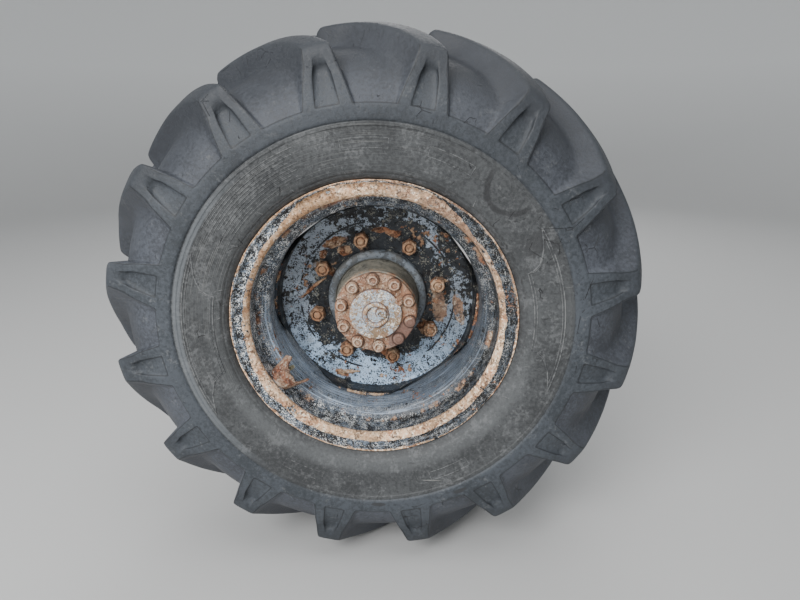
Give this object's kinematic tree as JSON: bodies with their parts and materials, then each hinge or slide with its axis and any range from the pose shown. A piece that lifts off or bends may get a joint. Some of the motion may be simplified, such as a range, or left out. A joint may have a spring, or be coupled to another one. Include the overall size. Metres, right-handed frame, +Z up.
{
  "type": "site dumper wheel with its hub and axle end",
  "caption": "Wide lugged tyre on a dished drop-centre wheel, bolted to a planetary hub that turns on a cast axle arm.",
  "frame": {"origin": "centre of the axle arm's bolting face, on the wheel's axis", "axes": "+Y along the wheel's axis, out of the bolting face and away from the wheel; +Z up, square to the chassis pad; the wheel's outer side faces -Y"},
  "size_m": [1.1176, 0.761, 1.1176],
  "materials": {
    "axle_casting": "cast, dark paint with dust",
    "machined_steel": "turned steel, lightly oiled",
    "zinc_bolts": "dull zinc with some rust",
    "bronze": "turned bronze",
    "tyre_rubber": "worn dusty rubber, blue-grey on the lugs",
    "rim_paint": "blue-grey paint, rusted at the edges",
    "disc_paint": "blue-grey paint, chipped to black and rust",
    "weld_rust": "rusted weld",
    "valve_brass": "dull plated brass",
    "guard_rust": "rusted plate",
    "hub_casting": "cast, grey paint",
    "seal_rubber": "matt black",
    "cap_rust": "rusted cast iron, dusty",
    "cover_pale": "pale, rusted and dusty",
    "stud_rust": "rusted steel"
  },
  "bodies": {
    "axle_end": {"axle_arm": "axle_casting", "spindle": "machined_steel", "spindle_bolts": "zinc_bolts", "shaft_bush": "bronze"},
    "wheel": {"tyre": "tyre_rubber", "rim": "rim_paint", "wheel_disc": "disc_paint", "disc_welds": "weld_rust", "valve_stem": "valve_brass", "valve_guard": "guard_rust", "hub": "hub_casting", "hub_seal": "seal_rubber", "planet_housing": "hub_casting", "hub_cap": "cap_rust", "cap_bolts": "cap_rust", "cap_plugs": "cap_rust", "centre_cover": "cover_pale", "oil_plug": "cover_pale", "wheel_studs": "stud_rust", "wheel_nuts": "stud_rust"},
    "half_shaft": {"half_shaft": "machined_steel"}
  },
  "joints": [
    {"name": "wheel_spin", "type": "hinge", "parent": "axle_end", "child": "wheel", "pos_m": [0, -0.48, 0], "axis": [0, 1, 0], "continuous": true},
    {"name": "shaft_spin", "type": "hinge", "parent": "axle_end", "child": "half_shaft", "pos_m": [0, -0.2, 0], "axis": [0, 1, 0], "continuous": true}
  ],
  "couplings": [
    {"joint": "shaft_spin", "follows": "wheel_spin", "ratio": 6}
  ]
}
